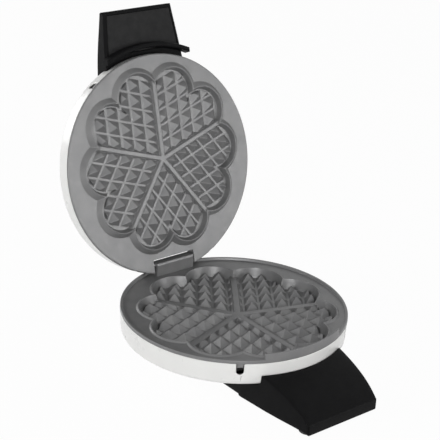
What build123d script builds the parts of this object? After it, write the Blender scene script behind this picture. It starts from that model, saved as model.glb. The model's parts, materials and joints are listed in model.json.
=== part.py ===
from build123d import *
from math import cos, radians, sin, tan
import os

# Heart waffle maker: a white bowl on a black stand, a white lid with a black handle,
# and two cast plates with five hearts each. Everything is drawn with the lid closed, in
# millimetres. Z = 0 is the level of the lower plate's rim, the plates' axis is X = Y = 0,
# the handle is towards -Y and the hinge towards +Y. At the end the lid is swung open
# and the whole is lifted so that its pads stand on Z = 0.

# Plates
plate_radius = 93.3
rim_top = 1.7
rim_seat = -1.0
rim_width = 2.2
land_level = -0.3
flange_thickness = 3.5
flange_gap = 0.4
mating_level = 7.0
lid_plate_radius = plate_radius + 0.2
lid_edge_height = 1.2
lid_edge_chamfer = 0.8
lid_plate_thickness = 4.5

# Five hearts, made of ten round lobes about a centre that lies a little forward
heart_count = 5
star_offset = -5.15
lobe_centre = 57.0
heart_step = 360.0 / heart_count
half_step = heart_step / 2
lobe_angle = heart_step / 4

# Lower mould
cavity_rim_level = 1.0
cavity_rim_radius = 24.0
cavity_rim_foot = 26.2
cavity_floor = -8.0
cavity_floor_radius = 21.6
base_ridge_top = -4.5
base_ridge_half = 2.6
base_ridge_foot_half = 3.4
base_point_height = 6.2
pan_bottom = -15.0
pan_lobe_radius = 26.0

# Upper mould, heights measured from its flat land towards the batter
collar_height = 4.3
collar_crest_radius = 21.3
collar_foot_radius = 25.0
collar_inner_radius = 20.5
lid_floor = -0.9
lid_floor_radius = 18.6
lid_ridge_top = 2.8
lid_ridge_half = 1.6
lid_ridge_foot_half = 3.6
lid_point_height = 5.6

# Grid of pointed pyramids in each heart. The lower plate has a row on each ridge line and
# the upper plate has its first row half a pitch away, so that the points interleave.
base_grid_pitch = 12.8
base_grid_shift = 0.0
lid_grid_pitch = 12.4
lid_grid_shift = 0.5
grid_strip = 2.0
base_grid_margin = 1.0
lid_grid_margin = 1.8
smallest_point = 25.0

# Guard on the lower rim, in front of the handle
guard_half = 38.0
guard_top = 6.7
guard_thickness = 1.8

# Hinge
hinge_y = plate_radius - 9.15
hinge_z = 8.8
open_angle = 104.88
pin_radius = 1.3
pin_fit = 0.05
knuckle_radius = 4.0
knuckle_top = 2.4
tongue_half = 19.2
notch_half = 21.1
notch_front = hinge_y - 4.95
lug_width = 5.9
lug_radius = 2.6
heel_gap = 4.5
stop_gap = 0.05
heel_thickness = 3.0
heel_front = -2.0
heel_back = 4.6
pin_end_gap = 0.3

# White shells
shell_thickness = 1.5
base_shell_radius = plate_radius
base_wall_foot = base_shell_radius - 1.0
base_corner_level = -19.3
bowl_flat_radius = 45.0
bowl_flat_level = -30.0
lid_shell_radius = lid_plate_radius
lid_wall_foot = lid_shell_radius - 0.5
lid_corner_level = 22.2
dome_flat_radius = 45.0
dome_flat_level = 31.0
corner_rounding = 4.0
hinge_window_half = 29.6
slot_width = 6.0
slot_depth = 9.5
slot_angle = 36.0
tab_width = 5.0
tab_height = 3.2

# Black stand under the bowl, with the wedge in front
stand_gap = 0.2
stand_bottom = -40.0
stand_half = 40.6
stand_rear = 80.0
stand_wall = 3.0
stand_roof = -34.0
wedge_root = -84.0
wedge_tip = -134.8
wedge_tip_drop = 0.8
wedge_tip_half = 35.3
wedge_tip_level = -32.2
# Distance, half-width, side level and crown of the wedge's cross-sections
wedge_stations = [
    (-60.0, stand_half + 1.2, -8.5, 2.2),
    (wedge_root, stand_half, -11.2, 1.9),
    (-110.0, 38.2, -18.0, 1.2),
    (-127.0, 36.2, -26.0, 0.5),
]
# Distance, half-width and roof of the hollow in the wedge
wedge_room = [(-79.0, stand_half - stand_wall, -24.5), (-110.0, 34.6, -24.5), (-129.0, 32.0, -34.5)]
rear_bar_half = 50.0
rear_bar_front = 50.0
rear_bar_top = -33.0
cover_thickness = 2.0
cover_gap = 0.3
pad_radius = 7.0
pad_height = 3.5
pad_recess = 1.0
front_pad_x = 27.0
front_pad_y = -125.0
rear_pad_x = 41.0
rear_pad_y = 70.0
cover_screw_x = 30.0
cover_screw_front = -70.0
cover_screw_rear = 30.0

# Handle on the lid and the curved finger guard on its inner face
handle_inner = plate_radius + 5.2
handle_tip = handle_inner + 33.9
handle_root = 48.0
handle_wall = 3.0
handle_bend = 79.0
handle_back_level = 30.5
handle_tip_back = 22.5
handle_root_rise = 0.07
handle_level = 13.6
handle_drop = 1.2
handle_tip_half = 34.4
handle_inner_half = 38.2
handle_root_half = 40.6
finger_guard_inner = plate_radius + 5.0
finger_guard_outer = finger_guard_inner + 5.0
finger_guard_half = 42.0
finger_guard_top = 5.5
finger_guard_back = 13.4

# Heating elements, clamps and shields
heater_radius = 3.25
heater_loop = 48.0
heater_sweep = 300.0
clamp_angles = (0.0, 180.0, 240.0, 300.0)
clamp_length = 10.0
clamp_wall = 1.4
clamp_fit = 0.1
clamp_screw_offset = 8.0
screw_radius = 1.5
screw_head_radius = 3.0
screw_head_height = 1.6
shield_thickness = 0.6
shield_post_radius = 4.0
shield_post_ring = 26.0
mount_post_radius = 4.5
mount_post_ring = 36.0
mount_screw_radius = 2.0
mount_head_radius = 4.0
mount_head_height = 2.4
heater_pin_radius = 1.6
heater_pin_length = 8.0
shield_edge_radius = 78.0
shield_rise = 6.0
shield_window = -43.0
shield_clearance = 2.1
clamp_screw_head = 1.2

# Dial and thermostat
dial_y = -68.0
dial_radius = 14.0
dial_height = 9.0
dial_lift = 0.3
dial_seat_radius = 17.0
dial_seat_level = 33.4
spindle_radius = 3.0
spindle_fit = 0.05
thermostat_size = (24.0, 18.0, 7.0)
lamp_x = 10.0
lamp_y = -handle_inner - 9.5
lens_radius = 3.5
lens_fit = 0.1
lens_low = 22.2
bracket_thickness = 1.2
bracket_ear = 8.0

# Screws and openings of the handle
handle_screw_x = 26.0
handle_screw_y = -80.0
handle_seat = 27.6
handle_room_start = handle_inner - 1.5
cover_post_x = 24.0
cover_post_y = -handle_inner - 17.5
peg_radius = 1.5
peg_length = 6.0
cover_boss_radius = 3.5
post_gap = 0.2
lamp_lead_radius = 2.5
lamp_lead_level = 17.5

# Inlet, terminals, fuse and leads
lead_hole_radius = 5.0
lead_hole_y = 56.0
lead_radius = 1.1
lead_bend = 1.6
terminal_room_half = 20.0
terminal_room_front = 50.0
terminal_room_roof = -28.5
terminal_half = 13.0
terminal_front = 54.0
terminal_back = 67.0
terminal_height = 8.0
fuse_radius = 2.2
fuse_half = 6.0
fuse_y = 34.5
gland_level = -33.2
gland_radius = 4.5
gland_length = 12.0
gland_bore = 3.3


def box(x0, x1, y0, y1, z0, z1):
    """A block between two corners."""
    return Pos((x0 + x1) / 2, (y0 + y1) / 2, (z0 + z1) / 2) * Box(x1 - x0, y1 - y0, z1 - z0)


def post(radius, z0, z1, x=0.0, y=0.0):
    """An upright cylinder."""
    return Pos(x, y, (z0 + z1) / 2) * Cylinder(radius, z1 - z0)


def bar_x(radius, x0, x1, y, z):
    """A cylinder that lies along X."""
    return Pos((x0 + x1) / 2, y, z) * Rot(0, 90, 0) * Cylinder(radius, abs(x1 - x0))


def turned(points):
    """A solid of revolution about Z from its half outline in X and Z."""
    outline = Plane.XZ * make_face(Polyline(*points, close=True))
    return revolve(outline, Axis.Z, 360)


def tapered_post(low_radius, high_radius, z0, z1, x=0.0, y=0.0):
    """An upright cone without its point, or a cylinder where both radii are the same."""
    if low_radius == high_radius:
        return post(low_radius, z0, z1, x, y)
    return Pos(x, y, (z0 + z1) / 2) * Cone(low_radius, high_radius, z1 - z0)


def flat_outline(points, z):
    """A flat polygon at one level."""
    return Pos(0, 0, z) * make_face(Polyline(*points, close=True))


def on_ring(radius, angle):
    """A point on a circle about the origin."""
    return radius * cos(radians(angle)), radius * sin(radians(angle))


def lobe_places():
    """The two lobe centres of one heart that points along +X."""
    return [on_ring(lobe_centre, side * lobe_angle) for side in (-1, 1)]


def all_hearts(shape, star_y, first_angle):
    """Five turned copies of one heart's shape about the star centre."""
    return [Pos(0, star_y, 0) * Rot(0, 0, first_angle + heart_step * k) * shape for k in range(heart_count)]


def sector(z0, half0, z1, half1):
    """The space between two ridges, whose sides lean."""
    reach = 2 * plate_radius
    faces = []
    for level, half in ((z0, half0), (z1, half1)):
        apex = half / sin(radians(half_step))
        spread = (reach - apex) * tan(radians(half_step))
        faces.append(flat_outline([(apex, 0), (reach, -spread), (reach, spread)], level))
    return loft(faces, ruled=True)


def heart_core(z0, z1):
    """The part of a heart that lies between the star centre and its lobes."""
    foot = lobe_centre * cos(radians(lobe_angle))
    left, right = lobe_places()
    points = [(0, 0), on_ring(foot, -half_step), left, right, on_ring(foot, half_step)]
    return extrude(flat_outline(points, z0), z1 - z0)


def heart_pocket(z0, radius0, half0, z1, radius1, half1):
    """A heart-shaped pocket with leaning walls, from its floor z0 up to z1."""
    shape = heart_core(z0, z1)
    for x, y in lobe_places():
        shape += tapered_post(radius0, radius1, z0, z1, x, y)
    return shape & sector(z0, half0, z1, half1)


def rosette(z0, radius0, z1, radius1):
    """The outline of all ten lobes together, with its middle filled."""
    shape = post(lobe_centre, z0, z1)
    for k in range(2 * heart_count):
        x, y = on_ring(lobe_centre, heart_step * k / 2)
        shape += tapered_post(radius0, radius1, z0, z1, x, y)
    return shape


def grid_point(row, column, pitch, floor, height):
    """One pyramid on the skewed grid whose lines run parallel to the two ridges."""
    side = pitch / sin(radians(heart_step))
    half = (pitch - grid_strip) / 2 / sin(radians(heart_step))

    def spot(a, b):
        return (a + b) * cos(radians(half_step)), (a - b) * sin(radians(half_step))

    a = row * side
    b = column * side
    corners = [spot(a + m * half, b + n * half) for m, n in ((-1, -1), (1, -1), (1, 1), (-1, 1))]
    return loft([flat_outline(corners, floor), Vertex(*spot(a, b), floor + height)])


def grid_points(pitch, shift, floor, height, lobe_radius, ridge_top):
    """The pyramids of one heart, trimmed to its outline and, on a ridge, to the ridge's top."""
    zone = heart_core(floor, floor + height)
    ridge_zone = heart_core(floor, ridge_top)
    for x, y in lobe_places():
        zone += post(lobe_radius, floor, floor + height, x, y)
        ridge_zone += post(lobe_radius, floor, ridge_top, x, y)
    pieces = []
    count = int((lobe_centre + cavity_rim_radius) / pitch)
    for row in range(count):
        for column in range(count):
            on_ridge = (row + shift) * (column + shift) == 0
            point = grid_point(row + shift, column + shift, pitch, floor, height)
            piece = point & (ridge_zone if on_ridge else zone)
            pieces += [solid for solid in piece.solids() if solid.volume > smallest_point]
    return pieces


def filled_shell(top, top_radius, corner, corner_radius, flat, flat_radius, grow):
    """The solid inside a shell's outer skin, grown outwards by a little."""
    away = 1 if flat > top else -1
    points = [
        (0, top),
        (top_radius + grow, top),
        (corner_radius + grow, corner + away * grow),
        (flat_radius, flat + away * grow),
        (0, flat + away * grow),
    ]
    solid = turned(points)
    rim = [e for e in solid.edges().filter_by(GeomType.CIRCLE) if abs(e.center().Z - points[2][1]) < 0.01]
    return fillet(rim, corner_rounding + grow)


def base_skin(grow):
    """The bowl's outer form."""
    return filled_shell(
        rim_seat, base_shell_radius, base_corner_level, base_wall_foot,
        bowl_flat_level, bowl_flat_radius, grow)


def lid_skin(grow):
    """The lid cover's outer form."""
    return filled_shell(
        mating_level + lid_edge_height, lid_shell_radius, lid_corner_level, lid_wall_foot,
        dome_flat_level, dome_flat_radius, grow)


def lid_room(gap):
    """The space under the lid cover, less a gap."""
    inset = shell_thickness + gap
    return filled_shell(
        mating_level + lid_edge_height, lid_shell_radius - inset, lid_corner_level - inset,
        lid_wall_foot - inset, dome_flat_level - inset, dome_flat_radius, 0)


def slot_places():
    """The angles of the two small slots in each shell, beside the front."""
    return [-90 - slot_angle, -90 + slot_angle]


def edge_slot(edge, away, angle):
    """A narrow slot with a round end that starts at a shell's edge."""
    radius = slot_width / 2
    straight = slot_depth - radius
    low = min(edge, edge + away * straight)
    block = box(plate_radius - 12, plate_radius + 12, -radius, radius, low, low + straight)
    end = Pos(plate_radius, 0, edge + away * straight) * Rot(0, 90, 0) * Cylinder(radius, 24)
    return Rot(0, 0, angle) * (block + end)


def hinge_bar(radius, x0, x1):
    """A cylinder on the hinge axis."""
    return bar_x(radius, x0, x1, hinge_y, hinge_z)


def screw(x, y, seat, length, up, radius, head_radius, head_height):
    """A screw whose head rests on its seat; up is 1 where its tip points to +Z."""
    shank_ends = sorted((seat, seat + up * length))
    head_ends = sorted((seat, seat - up * head_height))
    head = post(head_radius, head_ends[0], head_ends[1], x, y)
    slot = box(x - head_radius, x + head_radius, y - 0.4, y + 0.4, head_ends[0], head_ends[1])
    slot = Pos(0, 0, -up * head_height * 0.6) * slot
    return post(radius, shank_ends[0], shank_ends[1], x, y) + (head - slot)


# Places of the posts that carry the shield and the shell, on the back of each plate
def shield_posts():
    return [on_ring(shield_post_ring, 90 + 120 * k) for k in range(3)]


def mount_posts():
    return [on_ring(mount_post_ring, -90 + 120 * k) for k in range(3)]


def make_base_plate():
    """Lower plate: rim, land, five heart pockets, guard, tongue and posts."""
    flange_radius = base_shell_radius - shell_thickness - flange_gap
    plate = turned([
        (0, land_level - flange_thickness),
        (flange_radius, land_level - flange_thickness),
        (flange_radius, rim_seat),
        (plate_radius, rim_seat),
        (plate_radius - 0.2, rim_top),
        (plate_radius - rim_width, rim_top),
        (plate_radius - rim_width - 0.5, land_level),
        (0, land_level),
    ])
    star = Pos(0, star_offset, 0)
    plate += star * rosette(pan_bottom, pan_lobe_radius, land_level, pan_lobe_radius)
    plate += star * rosette(land_level, cavity_rim_foot, cavity_rim_level, cavity_rim_radius + 0.8)
    slope = (cavity_rim_radius - cavity_floor_radius) / (cavity_rim_level - cavity_floor)
    ridge_radius = cavity_floor_radius + slope * (base_ridge_top - cavity_floor)
    plate -= star * rosette(base_ridge_top, ridge_radius, cavity_rim_level, cavity_rim_radius)
    pocket = heart_pocket(
        cavity_floor, cavity_floor_radius, base_ridge_foot_half,
        base_ridge_top, ridge_radius, base_ridge_half)
    for shape in all_hearts(pocket, star_offset, 90):
        plate -= shape
    points = grid_points(
        base_grid_pitch, base_grid_shift, cavity_floor, base_point_height,
        cavity_floor_radius - base_grid_margin, base_ridge_top)
    places = [shape for point in points for shape in all_hearts(point, star_offset, 90)]
    plate = plate.fuse(*places)
    wall = turned([
        (plate_radius - guard_thickness - 0.2, rim_seat + 1),
        (plate_radius - 0.1, rim_seat + 1),
        (plate_radius - 0.4, guard_top),
        (plate_radius - guard_thickness, guard_top),
    ])
    plate += wall & box(-guard_half, guard_half, -plate_radius - 5, 0, rim_seat, guard_top + 1)
    plate += make_tongue()
    for x, y in shield_posts():
        plate += post(shield_post_radius, shield_level, pan_bottom + 1, x, y)
        plate -= post(screw_radius, shield_level, shield_level + 8, x, y)
    for x, y in mount_posts():
        plate += post(mount_post_radius, bowl_flat_level + shell_thickness, pan_bottom + 1, x, y)
        plate -= post(mount_screw_radius, bowl_flat_level, bowl_flat_level + 12, x, y)
    for angle in clamp_angles:
        x, y = on_ring(heater_loop - clamp_screw_offset, angle)
        plate -= post(screw_radius, pan_bottom, pan_bottom + 2.2, x, y)
    for angle in slot_places():
        tab = box(
            plate_radius - 4, plate_radius - 0.4, -tab_width / 2, tab_width / 2,
            rim_seat - tab_height, rim_seat + 0.5)
        plate += Rot(0, 0, angle) * tab
    return plate


def make_tongue():
    """Upright tongue at the rear of the lower plate that carries the hinge pin."""
    normal_y = sin(radians(open_angle))
    normal_z = cos(radians(open_angle))
    reach = heel_gap - stop_gap
    foot_level = land_level - flange_thickness
    foot_y = hinge_y + (reach - normal_z * (foot_level - hinge_z)) / normal_y
    outline = [
        (hinge_y - knuckle_radius, foot_level),
        (hinge_y - knuckle_radius, hinge_z),
        (hinge_y, hinge_z),
        (hinge_y + reach * normal_y, hinge_z + reach * normal_z),
        (foot_y, foot_level),
    ]
    face = Plane.YZ * make_face(Polyline(*outline, close=True))
    tongue = extrude(face, tongue_half, both=True)
    knuckle = hinge_bar(knuckle_radius, -tongue_half, tongue_half)
    above = box(
        -tongue_half, tongue_half, hinge_y - knuckle_radius, hinge_y + knuckle_radius,
        hinge_z + knuckle_top, hinge_z + 2 * knuckle_radius)
    tongue += knuckle - above
    return tongue - hinge_bar(pin_radius, -tongue_half, tongue_half)


def make_lid_plate():
    """Upper plate, drawn face up with its handle towards +Y, then turned over."""
    flange_radius = lid_shell_radius - shell_thickness - flange_gap
    plate = turned([
        (0, -lid_plate_thickness),
        (flange_radius, -lid_plate_thickness),
        (flange_radius, -lid_edge_height),
        (lid_plate_radius, -lid_edge_height),
        (lid_plate_radius, -lid_edge_chamfer),
        (lid_plate_radius - lid_edge_chamfer, 0),
        (0, 0),
    ])
    star_y = -star_offset
    plate += Pos(0, star_y, 0) * rosette(0, collar_foot_radius, collar_height, collar_crest_radius)
    slope = (collar_inner_radius - lid_floor_radius) / (collar_height - lid_floor)
    ridge_radius = lid_floor_radius + slope * (lid_ridge_top - lid_floor)
    plate -= Pos(0, star_y, 0) * rosette(lid_ridge_top, ridge_radius, collar_height, collar_inner_radius)
    pocket = heart_pocket(
        lid_floor, lid_floor_radius, lid_ridge_foot_half, lid_ridge_top, ridge_radius, lid_ridge_half)
    for shape in all_hearts(pocket, star_y, -90):
        plate -= shape
    points = grid_points(
        lid_grid_pitch, lid_grid_shift, lid_floor, lid_point_height,
        lid_floor_radius - lid_grid_margin, lid_ridge_top)
    places = [shape for point in points for shape in all_hearts(point, star_y, -90)]
    plate = plate.fuse(*places)
    plate = Pos(0, 0, mating_level) * Rot(180, 0, 0) * plate
    plate -= box(-notch_half, notch_half, notch_front, plate_radius + 5, 0, 40)
    lug_outer = notch_half + lug_width
    heel_level = hinge_z + heel_gap
    back = hinge_y + heel_back
    lugs = box(-lug_outer, lug_outer, notch_front, back, mating_level, heel_level + heel_thickness)
    lugs += hinge_bar(lug_radius, -lug_outer, lug_outer)
    lugs -= box(-notch_half, notch_half, notch_front - 1, back + 1, 0, heel_level)
    lugs -= box(-notch_half, notch_half, notch_front - 1, hinge_y + heel_front, 0, 40)
    lugs &= post(lid_shell_radius - 0.2, mating_level, 40)
    plate += lugs
    plate -= hinge_bar(pin_radius + pin_fit, -lid_plate_radius, lid_plate_radius)
    back_face = mating_level + lid_plate_thickness
    for x, y in shield_posts():
        plate += post(shield_post_radius, back_face - 1, lid_shield_level, x, y)
        plate -= post(screw_radius, lid_shield_level - 8, lid_shield_level, x, y)
    room = lid_room(post_gap)
    for side in (-1, 1):
        x = side * handle_screw_x
        plate += post(mount_post_radius, back_face - 1, lid_corner_level + 5, x, handle_screw_y) & room
        plate -= post(screw_radius, back_face + 0.5, lid_corner_level + 5, x, handle_screw_y)
    for angle in clamp_angles:
        x, y = on_ring(heater_loop - clamp_screw_offset, angle)
        plate -= post(screw_radius, back_face - 2.2, back_face, x, y)
    for angle in slot_places():
        tab = box(
            plate_radius - 4, plate_radius - 0.2, -tab_width / 2, tab_width / 2,
            mating_level + lid_edge_height - 0.5, mating_level + lid_edge_height + tab_height)
        plate += Rot(0, 0, angle) * tab
    return plate


def make_base_shell():
    """White bowl, open at the top, with holes for the screws and the leads."""
    inside = filled_shell(
        rim_seat, base_shell_radius - shell_thickness, base_corner_level + shell_thickness,
        base_wall_foot - shell_thickness, bowl_flat_level + shell_thickness, bowl_flat_radius, 0)
    shell = base_skin(0) - inside
    for angle in slot_places():
        shell -= edge_slot(rim_seat, -1, angle)
    for x, y in mount_posts():
        shell -= post(mount_screw_radius + 0.3, bowl_flat_level - 1, bowl_flat_level + 5, x, y)
    return shell - post(lead_hole_radius, bowl_flat_level - 5, bowl_flat_level + 8, 0, lead_hole_y)


def make_lid_shell():
    """White lid cover with the window for the hinge and the holes for dial and screws."""
    shell = lid_skin(0) - lid_room(0)
    shell -= box(
        -hinge_window_half, hinge_window_half, hinge_y - 8, plate_radius + 5,
        mating_level, lid_corner_level + 3)
    for angle in slot_places():
        shell -= edge_slot(mating_level + lid_edge_height, 1, angle)
    shell -= post(spindle_radius + 1.5, dome_flat_level - 15, dome_flat_level + 1, 0, dial_y)
    for side in (-1, 1):
        x = side * handle_screw_x
        shell -= post(screw_radius + 0.2, lid_corner_level - 5, dome_flat_level + 2, x, handle_screw_y)
    return shell - lamp_lead_hole()


def lamp_lead_hole():
    """A level hole from the lid into the handle, for the leads of the lamps."""
    return Pos(0, -lid_shell_radius, lamp_lead_level) * Rot(90, 0, 0) * Cylinder(lamp_lead_radius, 16)


def make_heater(level):
    """Tubular element bent to an open ring, with a pin at each end."""
    start = 90 + (360 - heater_sweep) / 2
    section = Plane.XZ * (Pos(heater_loop, level) * Circle(heater_radius))
    loop = Rot(0, 0, start) * revolve(section, Axis.Z, heater_sweep)
    for angle, turn in ((start, -1), (start + heater_sweep, 1)):
        x, y = on_ring(heater_loop, angle)
        pin = Pos(x, y, level) * Rot(0, 0, angle) * Rot(turn * 90, 0, 0) * Pos(0, 0, -heater_pin_length / 2)
        loop += pin * Cylinder(heater_pin_radius, heater_pin_length + 2)
    return loop


def make_clamps(face, away):
    """Saddles that press the element against the plate's back."""
    level = face + away * heater_radius
    tube = Pos(0, 0, level) * Torus(heater_loop, heater_radius + clamp_fit)
    outer = away * (2 * heater_radius + clamp_wall)
    saddles = []
    for angle in clamp_angles:
        low, high = sorted((face, face + outer))
        block = box(
            heater_loop - clamp_screw_offset - 4, heater_loop + heater_radius + clamp_wall,
            -clamp_length / 2, clamp_length / 2, low, high)
        block = Rot(0, 0, angle) * block
        x, y = on_ring(heater_loop - clamp_screw_offset, angle)
        saddles.append(block - tube - post(screw_radius, low - 1, high + 1, x, y))
    return saddles


def make_clamp_screws(face, away):
    """One screw for each saddle."""
    seat = face + away * (2 * heater_radius + clamp_wall)
    parts = []
    for angle in clamp_angles:
        x, y = on_ring(heater_loop - clamp_screw_offset, angle)
        length = 2 * heater_radius + clamp_wall + 2
        parts.append(
            screw(x, y, seat, length, -away, screw_radius, screw_head_radius * 0.9, clamp_screw_head))
    return parts


def make_shield(level, away, edge_level):
    """Thin reflector dish on its three posts, with holes for the mounting posts."""
    skin = away * shield_thickness
    dish = turned([
        (0, level),
        (bowl_flat_radius, level),
        (shield_edge_radius, edge_level),
        (shield_edge_radius, edge_level + skin),
        (bowl_flat_radius, level + skin),
        (0, level + skin),
    ])
    for x, y in shield_posts():
        dish -= post(screw_radius, level - 5, level + 5, x, y)
    for x, y in mount_posts():
        if away < 0:
            dish -= post(mount_post_radius + 0.5, level - 5, level + 5, x, y)
    if away < 0:
        return dish - post(lead_hole_radius, level - 8, level + 8, 0, lead_hole_y)
    long, wide, high = thermostat_size
    half = long / 2 + bracket_ear + 1
    return dish - box(-half, half, -shield_edge_radius - 5, shield_window, level - 9, level + 3)


def make_shield_screws(level, away):
    """Screws that hold the shield to its posts."""
    seat = level + away * shield_thickness
    return [
        screw(x, y, seat, 7, -away, screw_radius, screw_head_radius, screw_head_height)
        for x, y in shield_posts()]


def slab_section(y, half, low, side_top, crown):
    """A cross-section of stand or handle: flat sides and a slightly crowned top."""
    base = Polyline((-half, side_top), (-half, low), (half, low), (half, side_top))
    top = ThreePointArc((half, side_top), (0, side_top + crown), (-half, side_top))
    face = make_face(Curve() + [base, top])
    return Pos(0, y, 0) * Rot(90, 0, 0) * face


def make_stand():
    """Black stand: a box under the bowl, the wedge in front and a wider bar at the rear."""
    sections = [
        slab_section(y, half, stand_bottom, level, crown) for y, half, level, crown in wedge_stations]
    tip_low = stand_bottom - wedge_tip_drop
    sections.append(slab_section(wedge_tip, wedge_tip_half, tip_low, wedge_tip_level, 0.2))
    body = loft(sections)
    body += box(-stand_half, stand_half, -62, stand_rear, stand_bottom, -17)
    body += box(-rear_bar_half, rear_bar_half, rear_bar_front, stand_rear, stand_bottom, rear_bar_top)
    body -= base_skin(stand_gap)
    inner_half = stand_half - stand_wall
    room = box(-inner_half, inner_half, -80, stand_rear - stand_wall, stand_bottom - 1, stand_roof)
    room += box(
        -terminal_room_half, terminal_room_half, terminal_room_front, stand_rear - stand_wall,
        stand_bottom - 1, terminal_room_roof)
    front = []
    for y, half, roof in wedge_room:
        front.append(slab_section(y, half, stand_bottom - 1, roof, 0.5))
    room += loft(front, ruled=True)
    body -= room
    for x, y in mount_posts():
        body -= post(mount_screw_radius + 0.2, stand_roof - 1, bowl_flat_level + 1, x, y)
    body -= post(lead_hole_radius, stand_roof - 1, bowl_flat_level + 8, 0, lead_hole_y)
    for x, y in pad_places():
        body -= post(pad_radius, stand_bottom - 2, stand_bottom + pad_recess, x, y)
    for x, y in cover_screw_places():
        body += post(cover_boss_radius, stand_bottom + cover_thickness, stand_roof + 2, x, y)
        body -= post(screw_radius, stand_bottom, stand_roof, x, y)
    gland_axis = Pos(0, stand_rear, gland_level) * Rot(90, 0, 0)
    return body - gland_axis * Cylinder(gland_radius, 20)


def pad_places():
    return [(sx * x, y) for x, y in ((front_pad_x, front_pad_y), (rear_pad_x, rear_pad_y)) for sx in (-1, 1)]


def cover_screw_places():
    return [(sx * cover_screw_x, y) for y in (cover_screw_front, cover_screw_rear) for sx in (-1, 1)]


def make_stand_cover():
    """Flat bottom cover, let into the stand."""
    half = stand_half - stand_wall - cover_gap
    rear = stand_rear - stand_wall - cover_gap
    left = [(-half, rear)] + [(cover_gap - side, y) for y, side, roof in wedge_room]
    left[-1] = (left[-1][0] - 0.05, left[-1][1] + 0.4)
    outline = left + [(-x, y) for x, y in reversed(left)]
    cover = extrude(flat_outline(outline, stand_bottom), cover_thickness)
    for x, y in cover_screw_places():
        cover -= post(screw_radius, stand_bottom - 1, stand_bottom + 3, x, y)
        cover -= post(screw_head_radius, stand_bottom - 1, stand_bottom + 1, x, y)
    for x, y in pad_places():
        cover -= post(pad_radius, stand_bottom - 1, stand_bottom + pad_recess, x, y)
    return cover


def make_pads():
    """Rubber feet with rounded lower edges."""
    pads = []
    for x, y in pad_places():
        pad = post(pad_radius, stand_bottom - pad_height, stand_bottom + pad_recess, x, y)
        pads.append(fillet(pad.faces().sort_by(Axis.Z)[0].edges(), 1.2))
    return pads


def handle_side(y):
    """Half-width of the lid handle at a distance from the plate axis."""
    if y < handle_inner:
        share = (y - handle_root) / (handle_inner - handle_root)
        return handle_root_half + (handle_inner_half - handle_root_half) * share
    share = (y - handle_inner) / (handle_tip - handle_inner)
    return handle_inner_half + (handle_tip_half - handle_inner_half) * share


def handle_face(y):
    """Level of the handle's inner face, which drops a little towards the tip."""
    return handle_level + handle_drop * max(0.0, y - handle_inner) / (handle_tip - handle_inner)


def handle_back(y):
    """Level of the handle's outer face: flat over the lid, then sloping to the tip."""
    slope = (handle_back_level - handle_tip_back) / (handle_tip - handle_bend)
    if y > handle_bend:
        return handle_back_level - slope * (y - handle_bend)
    return handle_back_level + handle_root_rise * (handle_bend - y)


def make_handle():
    """Black lid handle: it lies on the cover and reaches out past its edge."""
    stations = (handle_root, handle_bend, handle_inner, (handle_inner + handle_tip) / 2, handle_tip)
    sections = [
        slab_section(-y, handle_side(y), handle_face(y), handle_back(y) - 1.0, 1.0) for y in stations]
    body = loft(sections)
    tip_edges = [e for e in body.edges() if e.center().Y < -handle_tip + 0.5 or abs(e.center().X) > 30]
    tip_edges = [e for e in tip_edges if e.center().Z > 18 or abs(e.center().X) > 30 and e.length < 12]
    body = fillet(tip_edges, 1.2)
    body += post(dial_seat_radius, dome_flat_level - 8, dial_seat_level, 0, dial_y)
    body -= lid_skin(stand_gap)
    rooms = []
    for y in (handle_room_start, handle_tip - handle_wall):
        half = handle_side(y) - handle_wall
        rooms.append(slab_section(-y, half, handle_face(y) - 1, handle_back(y) - 1.0 - handle_wall, 1.0))
    body -= loft(rooms, ruled=True)
    body -= post(spindle_radius + spindle_fit, 15, dial_seat_level + 1, 0, dial_y)
    for side in (-1, 1):
        body -= post(lens_radius + lens_fit, 15, 40, side * lamp_x, lamp_y)
        body -= post(screw_radius + 0.1, 15, 40, side * handle_screw_x, handle_screw_y)
        body -= post(screw_head_radius + 0.2, handle_seat, 40, side * handle_screw_x, handle_screw_y)
        x, y = side * cover_post_x, cover_post_y
        face = handle_face(-y)
        body += post(cover_boss_radius, face + cover_thickness + 0.6, handle_back(-y) - 2, x, y)
        body -= post(peg_radius, face, handle_back(-y) - 3, x, y)
    return body - lamp_lead_hole()


def make_handle_cover():
    """Inner face of the handle, let in between its walls, with two pegs pressed into its posts."""
    sections = []
    for y in (handle_room_start + cover_gap, handle_tip - handle_wall - cover_gap):
        half = handle_side(y) - handle_wall - cover_gap
        face = handle_face(y)
        sections.append(slab_section(-y, half, face + 0.3, face + cover_thickness + 0.2, 0.05))
    cover = loft(sections, ruled=True)
    for side in (-1, 1):
        x, y = side * cover_post_x, cover_post_y
        low = handle_face(-y) + cover_thickness / 2
        cover += post(peg_radius, low, low + peg_length, x, y)
    return cover


def make_finger_guard():
    """Curved band in front of the plates that keeps fingers off the hot edge."""
    band = turned([
        (finger_guard_inner, finger_guard_back),
        (finger_guard_inner + 1.0, finger_guard_top),
        (finger_guard_outer - 0.6, finger_guard_top),
        (finger_guard_outer, finger_guard_back),
    ])
    band &= box(-finger_guard_half, finger_guard_half, -finger_guard_outer - 5, 0, 0, 20)
    return fillet([e for e in band.edges() if abs(e.center().Z - finger_guard_top) < 0.5], 1.2)


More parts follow.
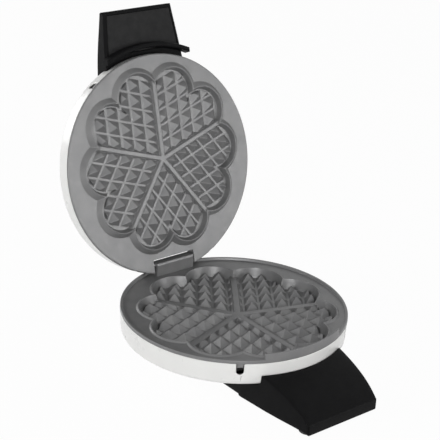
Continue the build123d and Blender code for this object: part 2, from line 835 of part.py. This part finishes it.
def make_dial():
    """Browning dial with a grip bar across it and a pointer groove."""
    low = dial_seat_level + dial_lift
    dial = post(dial_radius, low, low + dial_height * 0.45, 0, dial_y)
    dial = fillet(dial.faces().sort_by(Axis.Z)[-1].edges(), 1.2)
    bar = Pos(0, dial_y, low + dial_height * 0.7) * Box(6, 2 * dial_radius - 3, dial_height * 0.6)
    bar = fillet(bar.edges().filter_by(Axis.Z), 2.0)
    bar = fillet(bar.faces().sort_by(Axis.Z)[-1].edges(), 0.8)
    dial += bar
    grip_top = low + dial_height
    groove = box(-0.5, 0.5, dial_y - dial_radius + 2, dial_y - 6, grip_top - 0.6, grip_top + 1)
    return dial - groove - post(spindle_radius, low - 1, low + 5, 0, dial_y)


def make_thermostat():
    """Thermostat body on the back of the upper plate, with a bush for the spindle."""
    long, wide, high = thermostat_size
    face = mating_level + lid_plate_thickness + bracket_thickness
    body = box(-long / 2, long / 2, dial_y - wide / 2, dial_y + wide / 2, face, face + high)
    body += post(spindle_radius + 2, face + high, face + high + 3, 0, dial_y)
    return body - post(spindle_radius + spindle_fit, face + 2, face + high + 4, 0, dial_y)


def make_bracket():
    """Sheet bracket under the thermostat, with an ear at each side."""
    long, wide, high = thermostat_size
    face = mating_level + lid_plate_thickness
    reach = long / 2 + bracket_ear
    plate = box(
        -reach, reach, dial_y - wide / 2 + 3, dial_y + wide / 2 - 3, face, face + bracket_thickness)
    for side in (-1, 1):
        wall = sorted((side * long / 2, side * (long / 2 + bracket_thickness)))
        plate += box(wall[0], wall[1], dial_y - 4, dial_y + 4, face, face + high)
    return plate


def make_gland():
    """Bush in the stand's rear wall through which the mains lead enters."""
    axis = Pos(0, stand_rear - stand_wall / 2, gland_level) * Rot(90, 0, 0)
    bush = axis * Cylinder(gland_radius, gland_length)
    bush += Pos(0, stand_rear + 1, gland_level) * Rot(90, 0, 0) * Cylinder(gland_radius + 1.5, 2)
    return bush - axis * Cylinder(gland_bore, gland_length + 10)


def make_terminal_block():
    """Block with two screw terminals, on the bottom cover."""
    low = stand_bottom + cover_thickness
    block = box(-terminal_half, terminal_half, terminal_front, terminal_back, low, low + terminal_height)
    for side in (-1, 1):
        block -= post(2.0, low + terminal_height - 2, low + terminal_height + 1, side * 8, terminal_back - 4)
    return block


def make_lamp_board():
    """Small board that carries the two lamps, on the handle's inner cover."""
    low = handle_face(-lamp_y) + cover_thickness + 0.6
    return box(-lamp_x - 5, lamp_x + 5, lamp_y - 4, lamp_y + 4, low, low + 1.2)


def make_lamps():
    """Two small glow lamps."""
    low = handle_face(-lamp_y) + cover_thickness + 1.8
    lamps = []
    for side in (-1, 1):
        lamp = post(2.2, low, low + 3.4, side * lamp_x, lamp_y)
        lamps.append(fillet(lamp.faces().sort_by(Axis.Z)[-1].edges(), 1.0))
    return lamps


def make_lens(side):
    """Coloured lens with a flange inside the handle and a rounded face outside."""
    x = side * lamp_x
    lens = post(lens_radius, lens_low, handle_back(-lamp_y) + 0.7, x, lamp_y)
    lens = fillet(lens.faces().sort_by(Axis.Z)[-1].edges(), 0.9)
    return lens + post(lens_radius + 1.2, lens_low - 0.8, lens_low, x, lamp_y)


def pin_end(side, level):
    """The tip of an element's pin and a point just before it, for a lead that joins there."""
    angle = 90 + side * (180 - heater_sweep / 2)
    x, y = on_ring(heater_loop, angle)
    step_x = side * sin(radians(angle))
    step_y = -side * cos(radians(angle))
    tip = heater_pin_length + 1.1
    return [(x + step_x * far, y + step_y * far, level) for far in (tip + 3.6, tip)]


def make_base_leads():
    """Leads from the inlet to the terminals, and on to the element and the fuse."""
    level = under_plate - heater_radius
    top = stand_bottom + cover_thickness + terminal_height
    fuse = under_plate - fuse_radius
    left = [(-2.5, 57.5, top), (-2.5, 57.5, -24.0), (-6.0, 52.0, -19.5)] + pin_end(1, level)
    feed = [(2.5, 57.5, top), (2.5, 57.5, -24.0), (0.0, 50.0, -19.0), (-7.0, 42.0, -17.6),
            (-12.0, fuse_y, fuse), (-fuse_half - 0.1, fuse_y, fuse)]
    right = [(fuse_half + 0.1, fuse_y, fuse), (11.0, fuse_y, fuse), (9.0, 44.0, -18.0)] + pin_end(-1, level)
    leads = [wire(points, lead_radius, lead_bend) for points in (left, feed, right)]
    for side in (-1, 1):
        y0 = terminal_back
        y1 = stand_rear - stand_wall / 2 - gland_length / 2
        place = Pos(side * 1.6, (y0 + y1) / 2, gland_level) * Rot(90, 0, 0)
        leads.append(place * Cylinder(lead_radius, y1 - y0))
    return leads


def make_lid_leads():
    """Leads from the hinge to the thermostat and the element, and on to the lamps."""
    level = over_plate + heater_radius
    mid = level + 0.8
    over = over_plate + 2 * heater_radius + lead_radius + 0.4
    face = dial_y + thermostat_size[1] / 2
    feed = [(9.0, 76.0, mid - 2.1), (8.0, 10.0, mid), (10.0, -34.0, over), (9.0, -51.0, over),
            (8.0, face + 4.0, over - 2.0), (8.0, face + 0.1, over - 2.0)]
    back = [(-8.0, face + 0.1, over - 2.0), (-8.0, face + 4.0, over - 2.0), (-9.0, -51.0, over),
            (-10.0, -34.0, over), (-8.0, 10.0, mid),
            (-7.0, 42.0, level)] + pin_end(1, level)
    other = [(16.0, 76.0, mid - 2.1), (13.0, 60.0, level), (10.5, 52.0, level)] + pin_end(-1, level)
    board = handle_face(-lamp_y) + cover_thickness + 3.4
    lamp = [(0.0, dial_y - thermostat_size[1] / 2 - 0.1, lamp_lead_level),
            (0.0, lamp_y + 9.5, lamp_lead_level + 0.4), (1.5, lamp_y + 4.5, board + 0.3),
            (4.5, lamp_y, board), (lamp_x - 2.3, lamp_y, board)]
    return [wire(points, lead_radius, lead_bend) for points in (feed, back, other, lamp)]


def wire(points, radius, bend):
    """A round lead with smooth bends."""
    path = FilletPolyline(*points, radius=bend)
    section = Plane(origin=path @ 0, z_dir=path % 0) * Circle(radius)
    return sweep(section, path=path)


# Values that follow from the ones above
shield_level = pan_bottom - 2 * heater_radius - clamp_wall - shield_clearance
lid_shield_level = mating_level + lid_plate_thickness + 2 * heater_radius + clamp_wall + shield_clearance
pin_half = notch_half + lug_width - pin_end_gap
under_plate = pan_bottom
over_plate = mating_level + lid_plate_thickness

hinge_axis = Axis((0, hinge_y, hinge_z), (1, 0, 0))
base_nodes = {}
lid_nodes = {}

base_nodes["base_shell"] = [make_base_shell()]
base_nodes["base_grill_plate"] = [make_base_plate()]
base_nodes["base_heater"] = [make_heater(under_plate - heater_radius)]
base_nodes["base_heater_clamps"] = make_clamps(under_plate, -1)
base_nodes["base_clamp_screws"] = make_clamp_screws(under_plate, -1)
base_nodes["base_heat_shield"] = [make_shield(shield_level, -1, shield_level + shield_rise)]
base_nodes["base_shield_screws"] = make_shield_screws(shield_level, -1)
base_nodes["base_stand"] = [make_stand()]
base_nodes["stand_cover"] = [make_stand_cover()]
base_nodes["stand_cover_screws"] = [
    screw(x, y, stand_bottom + 1, 5, 1, screw_radius, screw_head_radius - 0.2, 0.9)
    for x, y in cover_screw_places()]
base_nodes["stand_pads"] = make_pads()
base_nodes["stand_screws"] = [
    screw(x, y, stand_roof, 12, 1, mount_screw_radius, mount_head_radius, mount_head_height)
    for x, y in mount_posts()]
base_nodes["hinge_pin"] = [hinge_bar(pin_radius, -pin_half, pin_half)]
base_nodes["cord_gland"] = [make_gland()]
base_nodes["terminal_block"] = [make_terminal_block()]
base_nodes["thermal_fuse"] = [bar_x(fuse_radius, -fuse_half, fuse_half, fuse_y, under_plate - fuse_radius)]
base_nodes["base_wiring"] = make_base_leads()

lid_nodes["lid_shell"] = [make_lid_shell()]
lid_nodes["lid_grill_plate"] = [make_lid_plate()]
lid_nodes["lid_heater"] = [make_heater(over_plate + heater_radius)]
lid_nodes["lid_heater_clamps"] = make_clamps(over_plate, 1)
lid_nodes["lid_clamp_screws"] = make_clamp_screws(over_plate, 1)
lid_nodes["lid_heat_shield"] = [make_shield(lid_shield_level, 1, lid_shield_level - shield_rise)]
lid_nodes["lid_shield_screws"] = make_shield_screws(lid_shield_level, 1)
lid_nodes["lid_handle"] = [make_handle()]
lid_nodes["lid_handle_cover"] = [make_handle_cover()]
lid_nodes["finger_guard"] = [make_finger_guard()]
lid_nodes["thermostat"] = [make_thermostat()]
lid_nodes["thermostat_bracket"] = [make_bracket()]
lid_nodes["thermostat_dial"] = [make_dial()]
spindle_low = over_plate + bracket_thickness + 2.3
lid_nodes["dial_spindle"] = [post(spindle_radius, spindle_low, dial_seat_level + dial_lift + 5, 0, dial_y)]
lid_nodes["handle_screws"] = [
    screw(
        side * handle_screw_x, handle_screw_y, handle_seat, 14, -1,
        screw_radius, screw_head_radius, screw_head_height)
    for side in (-1, 1)]
lid_nodes["lamp_board"] = [make_lamp_board()]
lid_nodes["indicator_lamps"] = make_lamps()
lid_nodes["power_lamp_lens"] = [make_lens(-1)]
lid_nodes["ready_lamp_lens"] = [make_lens(1)]
lid_nodes["lid_wiring"] = make_lid_leads()

# Swing the lid open, then put the pads on Z = 0 and the middle of the depth on Y = 0
placed = {}
for name, parts in base_nodes.items():
    placed[name] = Compound(children=[solid for part in parts for solid in part.solids()])
for name, parts in lid_nodes.items():
    closed = Compound(children=[solid for part in parts for solid in part.solids()])
    placed[name] = closed.rotate(hinge_axis, -open_angle)
boxes = [shape.bounding_box() for shape in placed.values()]
middle_y = (min(b.min.Y for b in boxes) + max(b.max.Y for b in boxes)) / 2
to_row = Pos(0, -middle_y, pad_height - stand_bottom)
print("hinge axis in the part's frame", to_row.position.Y + hinge_y, to_row.position.Z + hinge_z)
os.makedirs("parts", exist_ok=True)
for name, shape in placed.items():
    export_step(to_row * shape, f"parts/{name}.step")
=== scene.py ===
import json
import math

import bmesh
import bpy
from mathutils import Matrix, Vector
from mathutils.bvhtree import BVHTree


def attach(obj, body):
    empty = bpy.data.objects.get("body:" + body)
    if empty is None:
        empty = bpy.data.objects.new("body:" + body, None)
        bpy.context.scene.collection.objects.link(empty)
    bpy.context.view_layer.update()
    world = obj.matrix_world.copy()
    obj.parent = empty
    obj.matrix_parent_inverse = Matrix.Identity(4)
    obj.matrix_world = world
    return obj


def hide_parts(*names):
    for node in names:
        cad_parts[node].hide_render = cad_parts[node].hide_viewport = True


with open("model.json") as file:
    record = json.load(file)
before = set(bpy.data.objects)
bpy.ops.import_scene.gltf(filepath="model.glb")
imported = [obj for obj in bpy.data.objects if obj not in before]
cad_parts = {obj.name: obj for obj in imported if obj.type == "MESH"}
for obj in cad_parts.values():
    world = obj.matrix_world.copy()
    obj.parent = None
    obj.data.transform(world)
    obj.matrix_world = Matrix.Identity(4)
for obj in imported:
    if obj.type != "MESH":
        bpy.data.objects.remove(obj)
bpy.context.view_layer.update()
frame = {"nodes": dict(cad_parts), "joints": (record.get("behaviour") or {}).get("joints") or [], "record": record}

# The camera stands in front of the handle, to the left and a little above the lid.
# Its place is given from the middle of the lower plate's rim, which lies a fixed way
# in front of the hinge axis and below it. Lengths are in millimetres, angles in degrees.
MM = 0.001
AXIS_FROM_MIDDLE = Vector((0, 84.15, 8.8))
VIEW_TURN, VIEW_RISE, VIEW_ROLL = -39.68, 23.25, 3.04
CAMERA_BACK, CAMERA_RIGHT, CAMERA_UP = 1086.23, -11.47, 71.05
SENSOR_WIDTH, LENS = 36, 108.5
hinge_axis = Vector(frame["joints"][0]["pos_m"])
plate_middle = hinge_axis - AXIS_FROM_MIDDLE * MM


def direction(turn, rise):
    """The direction that is turned to the right from the front and raised from the level."""
    turn, rise = math.radians(turn), math.radians(rise)
    level = math.cos(rise)
    return Vector((math.sin(turn) * level, -math.cos(turn) * level, math.sin(rise)))


backward = direction(VIEW_TURN, VIEW_RISE)
view_turn, view_roll = math.radians(VIEW_TURN), math.radians(VIEW_ROLL)
level_right = Vector((math.cos(view_turn), math.sin(view_turn), 0))
level_up = backward.cross(level_right)
rightward = math.cos(view_roll) * level_right + math.sin(view_roll) * level_up
upward = math.cos(view_roll) * level_up - math.sin(view_roll) * level_right
camera_data = bpy.data.cameras.new("camera")
camera_data.sensor_width = SENSOR_WIDTH
camera_data.lens = LENS
camera = bpy.data.objects.new("camera", camera_data)
bpy.context.collection.objects.link(camera)
from_plate = CAMERA_BACK * backward + CAMERA_RIGHT * rightward + CAMERA_UP * upward
turned_view = Matrix((rightward, upward, backward)).transposed().to_4x4()
camera.matrix_world = Matrix.Translation(plate_middle + from_plate * MM) @ turned_view
bpy.context.scene.camera = camera
bpy.context.scene.view_settings.view_transform = "Standard"

# The light comes from soft lamps of one size at one distance in metres, most of it from
# the camera's side, low and high, and from the left, so that the faces turned to the
# left and to the front come out bright.
LAMP_DISTANCE, LAMP_WIDTH, LAMP_HEIGHT = 1.8, 0.8, 0.56
for name, turn, rise, power in (
        ("left_lamp", -120, 25, 8.5), ("low_lamp", -40, 10, 13), ("high_lamp", -40, 50, 4),
        ("front_lamp", 32, 4, 9), ("right_lamp", 70, 40, 2), ("back_lamp", -165, 12, 6)):
    lamp = bpy.data.lights.new(name, "AREA")
    lamp.shape = "RECTANGLE"
    lamp.size = LAMP_WIDTH
    lamp.size_y = LAMP_HEIGHT
    lamp.energy = power
    holder = bpy.data.objects.new(name, lamp)
    bpy.context.collection.objects.link(holder)
    away = direction(turn, rise)
    facing = away.to_track_quat("Z", "Y").to_matrix().to_4x4()
    holder.matrix_world = Matrix.Translation(plate_middle + away * LAMP_DISTANCE) @ facing


# The room is plain: the camera, glossy surfaces and glass see it as white, and the
# light that it sheds on the object is weak.
def add(tree, kind, links=None, **settings):
    """Adds a node, sets its properties and sockets by name, and links its inputs."""
    node = tree.nodes.new(kind)
    for key, value in settings.items():
        if hasattr(node, key):
            setattr(node, key, value)
        else:
            node.inputs[key.replace("_", " ")].default_value = value
    for socket, source in (links or {}).items():
        tree.links.new(source, node.inputs[socket])
    return node


def colour(text):
    """An sRGB hex colour as linear values."""
    parts = [int(text[i:i + 2], 16) / 255 for i in (1, 3, 5)]
    linear = [v / 12.92 if v <= 0.04045 else ((v + 0.055) / 1.055) ** 2.4 for v in parts]
    return (*linear, 1.0)


def seen_directly(tree):
    """1 where the camera, a reflection or glass looks at the room, else 0."""
    path = add(tree, "ShaderNodeLightPath")
    seen = add(tree, "ShaderNodeMath", {
        0: path.outputs["Is Camera Ray"], 1: path.outputs["Is Glossy Ray"]}, operation="MAXIMUM")
    seen = add(tree, "ShaderNodeMath", {
        0: seen.outputs[0], 1: path.outputs["Is Transmission Ray"]}, operation="MAXIMUM")
    return seen.outputs[0]


WHITE = colour("#ffffff")
ROOM_LIGHT = 0.05
world = bpy.data.worlds.new("room")
world.use_nodes = True
bpy.context.scene.world = world
room = world.node_tree
room.nodes.clear()
soft = add(room, "ShaderNodeBackground", Color=WHITE, Strength=ROOM_LIGHT)
white = add(room, "ShaderNodeBackground", Color=WHITE, Strength=1.0)
both = add(room, "ShaderNodeMixShader", {
    0: seen_directly(room), 1: soft.outputs[0], 2: white.outputs[0]})
add(room, "ShaderNodeOutputWorld", {"Surface": both.outputs[0]})


# The floor is a wide white sheet with its edges out of sight. The camera sees it almost
# wholly by its own glow, so that it keeps only the object's soft shadow.
def blank(name):
    """A new material with an empty node tree."""
    made = bpy.data.materials.new(name)
    made.use_nodes = True
    made.node_tree.nodes.clear()
    return made, made.node_tree


def formed(name, shape):
    """Makes a finished bmesh an object of the scene."""
    mesh = bpy.data.meshes.new(name)
    shape.to_mesh(mesh)
    shape.free()
    piece = bpy.data.objects.new(name, mesh)
    bpy.context.collection.objects.link(piece)
    return piece


FLOOR_GLOW = 0.97
FLOOR_REACH = 6.0
floor_finish, tree = blank("white_floor")
glow = add(tree, "ShaderNodeEmission", Color=WHITE, Strength=1.0)
matt = add(tree, "ShaderNodeBsdfDiffuse", Color=WHITE)
glow_share = add(tree, "ShaderNodeMath", {0: seen_directly(tree)}, operation="MULTIPLY")
glow_share.inputs[1].default_value = FLOOR_GLOW
both = add(tree, "ShaderNodeMixShader", {
    0: glow_share.outputs[0], 1: matt.outputs[0], 2: glow.outputs[0]})
add(tree, "ShaderNodeOutputMaterial", {"Surface": both.outputs[0]})
sheet = bmesh.new()
bmesh.ops.create_grid(sheet, x_segments=1, y_segments=1, size=FLOOR_REACH)
floor = formed("floor", sheet)
floor.data.materials.append(floor_finish)


# The two waffle plates are sand-cast aluminium, blasted and sprayed with a grey non-stick
# coat: an even satin grey with no bare metal. Its sprayed grain is too fine to show and is
# drawn 0.5 mm wide. The finest grain of the other finishes is drawn 0.4 to 0.9 mm wide.
NOISE_MIDDLE = 0.5


def grain(tree, size, low, high, detail=2.0, contrast=0.25):
    """Noise of one grain size in millimetres, spread between two values."""
    where = add(tree, "ShaderNodeTexCoord")
    noise = add(tree, "ShaderNodeTexNoise", {"Vector": where.outputs["Object"]},
                Scale=1 / (size * MM), Detail=detail)
    spread = add(tree, "ShaderNodeMapRange", {"Value": noise.outputs["Fac"]})
    spread.inputs["From Min"].default_value = NOISE_MIDDLE - contrast
    spread.inputs["From Max"].default_value = NOISE_MIDDLE + contrast
    spread.inputs["To Min"].default_value = low
    spread.inputs["To Max"].default_value = high
    return spread.outputs["Result"]


def surface(tree, tints, tint_share, rough, relief, height, **settings):
    """The shader of one finish: two mixed tints, an uneven roughness, and a grain that is
    raised by a height in millimetres."""
    shade = add(tree, "ShaderNodeMix", {"Factor": tint_share}, data_type="RGBA")
    inputs = [socket for socket in shade.inputs if socket.type == "RGBA"]
    for socket, tint in zip(inputs, tints):
        socket.default_value = colour(tint)
    mixed = next(socket for socket in shade.outputs if socket.type == "RGBA")
    bump = add(tree, "ShaderNodeBump", {"Height": relief}, Strength=1.0, Distance=height * MM)
    coat = add(tree, "ShaderNodeBsdfPrincipled", {
        "Base Color": mixed, "Roughness": rough, "Normal": bump.outputs["Normal"]}, **settings)
    add(tree, "ShaderNodeOutputMaterial", {"Surface": coat.outputs[0]})


plate_coat, tree = blank("grey_nonstick_coat")
surface(tree, ("#7a7a7b", "#848484"), grain(tree, 14, 0, 1), grain(tree, 3, 0.34, 0.42),
        grain(tree, 0.5, 0, 1), 0.03, Specular_IOR_Level=0.25, Metallic=0.3)

# Lengths in millimetres: points this near are one, an edge this short goes, a cut takes in
# points this near to its plane, and a face narrower than this makes no rounded edge.
MERGED, DISSOLVED, CUT_REACH, SLIVER = 0.03, 0.01, 0.001, 0.02
ROUNDED_FROM, SHADED_APART_FROM = math.radians(24), math.radians(50)
ROUNDING_STEPS = 2
slots = {s["node"]: s["material_slot"] for s in frame["record"]["subparts"]}


def finish(piece, made):
    """Gives a piece one material."""
    piece.data.materials.clear()
    piece.data.materials.append(made)


def rounded(name, node, body, made, width, cuts=(), shortest=0.0):
    """A merged copy of a drawn piece, cut off at planes where they are given, with its sharp
    edges from a shortest length up rounded to a width in millimetres."""
    shape = bmesh.new()
    shape.from_mesh(frame["nodes"][node].data)
    bmesh.ops.remove_doubles(shape, verts=shape.verts, dist=MERGED * MM)
    bmesh.ops.dissolve_degenerate(shape, edges=shape.edges, dist=DISSOLVED * MM)
    for place, normal in cuts:
        cut = bmesh.ops.bisect_plane(
            shape, geom=shape.verts[:] + shape.edges[:] + shape.faces[:], dist=CUT_REACH * MM,
            plane_co=place, plane_no=normal, clear_outer=True)
        rim = [part for part in cut["geom_cut"] if isinstance(part, bmesh.types.BMEdge)]
        bmesh.ops.holes_fill(shape, edges=rim, sides=0)
    for face in shape.faces:
        face.smooth = True
    weight = shape.edges.layers.float.new("bevel_weight_edge")
    for edge in shape.edges:
        length = edge.calc_length()
        smallest = min((face.calc_area() for face in edge.link_faces), default=0)
        wide = smallest >= SLIVER * MM * length
        sharp = edge.calc_face_angle(0) > ROUNDED_FROM
        edge[weight] = 1.0 if sharp and wide and length > shortest * MM else 0.0
    piece = formed(name, shape)
    piece.data.set_sharp_from_angle(angle=SHADED_APART_FROM)
    edges = piece.modifiers.new("rounded_edges", "BEVEL")
    edges.width = width * MM
    edges.segments = ROUNDING_STEPS
    edges.limit_method = "WEIGHT"
    edges.use_clamp_overlap = False
    shading = piece.modifiers.new("even_shading", "WEIGHTED_NORMAL")
    shading.keep_sharp = True
    finish(piece, made)
    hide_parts(node)
    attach(piece, body)


PLATE_EDGE = 0.35
rounded("lower_waffle_plate", "base_grill_plate", "base", plate_coat, PLATE_EDGE)
rounded("upper_waffle_plate", "lid_grill_plate", "lid", plate_coat, PLATE_EDGE)

# The bowl and the lid cover are pressed from steel sheet and stove-enamelled white:
# a glossy white with the faint ripple that a sprayed lacquer has.
SHEET_EDGE = 0.6
white_lacquer, tree = blank("white_stove_lacquer")
surface(tree, ("#f2f2f0", "#f6f6f4"), grain(tree, 30, 0, 1), grain(tree, 8, 0.26, 0.34),
        grain(tree, 6, 0, 1, 1.0, 0.5), 0.01, Coat_Weight=0.3, Coat_Roughness=0.12)
rounded("white_bowl", "base_shell", "base", white_lacquer, SHEET_EDGE)
rounded("white_lid_cover", "lid_shell", "lid", white_lacquer, SHEET_EDGE)

# Stand, handle, finger guard, dial and gland are moulded in black glass-filled plastic
# with a fine spark-eroded grain that scatters the light to a dull sheen.
black_plastic, tree = blank("black_moulded_plastic")
surface(tree, ("#0a0a0b", "#101011"), grain(tree, 9, 0, 1), grain(tree, 2, 0.42, 0.52),
        grain(tree, 0.6, 0, 1), 0.05, Specular_IOR_Level=0.06)
# The long edges beside the handle's inner face are cut off at 45 degrees for the fingers.
# Places on the closed lid are in millimetres from the middle of the lower plate.
LID_SWING = 104.88
to_lid = (
    Matrix.Translation(hinge_axis) @ Matrix.Rotation(math.radians(-LID_SWING), 4, "X")
    @ Matrix.Translation(-AXIS_FROM_MIDDLE * MM) @ Matrix.Scale(MM, 4))
EDGE_CUT = 1.6
EDGE_START, EDGE_END = Vector((38.2, -98.5, 13.6)), Vector((34.4, -132.4, 14.8))
HANDLE_EDGE, HANDLE_SHORTEST = 0.35, 1.2
cuts = []
for side in (-1, 1):
    mirrored = Vector((side, 1, 1))
    start, end = EDGE_START * mirrored, EDGE_END * mirrored
    across = Vector((-side * EDGE_CUT, 0, -EDGE_CUT))
    normal = (end - start).cross(across) * side
    place = to_lid @ (start + Vector((0, 0, EDGE_CUT)))
    cuts.append((place, (to_lid.to_3x3() @ normal).normalized()))
rounded("black_lid_handle", "lid_handle", "lid", black_plastic, HANDLE_EDGE,
        cuts=cuts, shortest=HANDLE_SHORTEST)
for name, node, body, width in (
        ("black_stand", "base_stand", "base", 1.0),
        ("stand_bottom_cover", "stand_cover", "base", 0.4),
        ("curved_finger_guard", "finger_guard", "lid", 0.1),
        ("browning_dial", "thermostat_dial", "dial", 0.3),
        ("cord_inlet", "cord_gland", "base", 0.3)):
    rounded(name, node, body, black_plastic, width)

# The inner face of the handle is a cover of its own, held by two pegs. It is a coarser
# and greyer moulding, mottled in lighter patches that are painted sheen.
COVER_EDGE = 0.1
grey_plastic, tree = blank("dark_grey_plastic_painted_sheen")
# The two tints are mixed by a coarse mottle, which paints a patchy sheen into the colour.
surface(tree, ("#202021", "#2d2d2d"), grain(tree, 7, 0, 1, detail=5.0),
        grain(tree, 2, 0.42, 0.55), grain(tree, 0.9, 0, 1), 0.06, Specular_IOR_Level=0.1)
rounded("handle_inner_cover", "lid_handle_cover", "lid", grey_plastic, COVER_EDGE)

# The browning scale is pad-printed in off-white around the dial: a stroke on the dial's
# seat and a number on the handle for each of six settings, and a stroke in the grip.
# The scale is laid out level over the closed lid and dropped onto the handle.
DIAL_Y = -68.0
SETTINGS, FIRST_TURN, SETTING_TURN = 6, -90, 54
NUMBER_SIZE, NUMBER_RADIUS, STROKE_RADIUS = 4.0, 19.2, 15.6
SCALE_STROKE, GRIP_STROKE = (1.9, 0.6), (0.9, 5.8)
LAYOUT_LEVEL = 60
GRIP_LEVEL, GRIP_STROKE_OUT = 42.25, 9
INK_RISE, INK_THICKNESS = 0.04, 0.12
HALF_A_MILLIMETRE = 0.5
white_ink, tree = blank("off_white_pad_print")
surface(tree, ("#dcdcd6", "#e4e4df"), grain(tree, 3, 0, 1), grain(tree, 1, 0.45, 0.6),
        grain(tree, 0.4, 0, 1), 0.01)


def stroke(shape, size, middle):
    """Adds a flat stroke with a size and a middle in millimetres, and gives its points."""
    points = bmesh.ops.create_grid(
        shape, x_segments=1, y_segments=1, size=HALF_A_MILLIMETRE)["verts"]
    bmesh.ops.scale(shape, vec=(*size, 1), verts=points)
    bmesh.ops.translate(shape, vec=middle, verts=points)
    return points


skin = frame["nodes"]["lid_handle"].data
handle_skin = BVHTree.FromPolygons(
    [v.co for v in skin.vertices], [p.vertices for p in skin.polygons])
outward = (to_lid.to_3x3() @ Vector((0, 0, 1))).normalized()
scale = bmesh.new()
for setting in range(SETTINGS):
    turn = math.radians(FIRST_TURN - SETTING_TURN * setting)
    digit = bpy.data.curves.new("digit", "FONT")
    digit.body = str(setting)
    digit.size = NUMBER_SIZE
    digit.align_x = "CENTER"
    digit.align_y = "CENTER"
    holder = bpy.data.objects.new("digit", digit)
    flat = bpy.data.meshes.new_from_object(holder)
    flat.transform(Matrix.Translation((
        NUMBER_RADIUS * math.cos(turn), DIAL_Y + NUMBER_RADIUS * math.sin(turn), LAYOUT_LEVEL)))
    scale.from_mesh(flat)
    bpy.data.objects.remove(holder)
    points = stroke(scale, SCALE_STROKE, (STROKE_RADIUS, 0, LAYOUT_LEVEL))
    bmesh.ops.rotate(scale, cent=(0, 0, 0), matrix=Matrix.Rotation(turn, 3, "Z"), verts=points)
    bmesh.ops.translate(scale, vec=(0, DIAL_Y, 0), verts=points)
bmesh.ops.transform(scale, matrix=to_lid, verts=scale.verts)
for point in scale.verts:
    hit = handle_skin.ray_cast(point.co, -outward)[0]
    point.co = hit + outward * INK_RISE * MM
dial_scale = formed("dial_scale", scale)
groove = bmesh.new()
points = stroke(groove, GRIP_STROKE, (0, DIAL_Y - GRIP_STROKE_OUT, GRIP_LEVEL))
bmesh.ops.transform(groove, matrix=to_lid, verts=points)
dial_pointer = formed("dial_pointer", groove)
for piece, body in ((dial_scale, "lid"), (dial_pointer, "dial")):
    layer = piece.modifiers.new("ink_thickness", "SOLIDIFY")
    layer.thickness = INK_THICKNESS * MM
    layer.offset = 0.0
    finish(piece, white_ink)
    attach(piece, body)

# Screws, hinge pin, spindle, bracket and clamps are turned or bent from steel and
# zinc-plated, which gives a bright metal with a faint cloudiness.
zinc, tree = blank("zinc_plated_steel")
surface(tree, ("#b4b5b8", "#c4c4c4"), grain(tree, 2, 0, 1), grain(tree, 1, 0.28, 0.4),
        grain(tree, 0.4, 0, 1), 0.01, Metallic=1.0)
for node, slot in slots.items():
    if slot == "steel":
        finish(frame["nodes"][node], zinc)

# The rest is inside or small: elements, reflector sheets, rubber feet, control parts,
# leads, lamps and lenses. Each kind has its own plain finish, given by its two tints,
# its roughness and whether it is metal.
ROUGH_SPREAD = 0.1
others = {
    "element_sheath": (("#5d5650", "#6e6862"), 0.4, 1.0),
    "shield_sheet": (("#c9cacc", "#d3d3d3"), 0.3, 1.0),
    "pad_rubber": (("#151515", "#1d1d1d"), 0.7, 0.0),
    "control_plastic": (("#cdbf9f", "#d6c9ab"), 0.5, 0.0),
    "lead_cover": (("#a8352c", "#b23e33"), 0.5, 0.0),
    "lamp_glass": (("#f2c9a4", "#f6d8bb"), 0.1, 0.0),
    "red_lens": (("#b1201a", "#bd2a20"), 0.15, 0.0),
    "green_lens": (("#1c7a3a", "#238543"), 0.15, 0.0),
}
for kind, (tints, rough, metal) in others.items():
    made, tree = blank(kind)
    uneven = grain(tree, 1.5, rough * (1 - ROUGH_SPREAD), rough * (1 + ROUGH_SPREAD))
    surface(tree, tints, grain(tree, 3, 0, 1), uneven, grain(tree, 0.6, 0, 1), 0.01,
            Metallic=metal)
    for node, slot in slots.items():
        if slot == kind:
            finish(frame["nodes"][node], made)
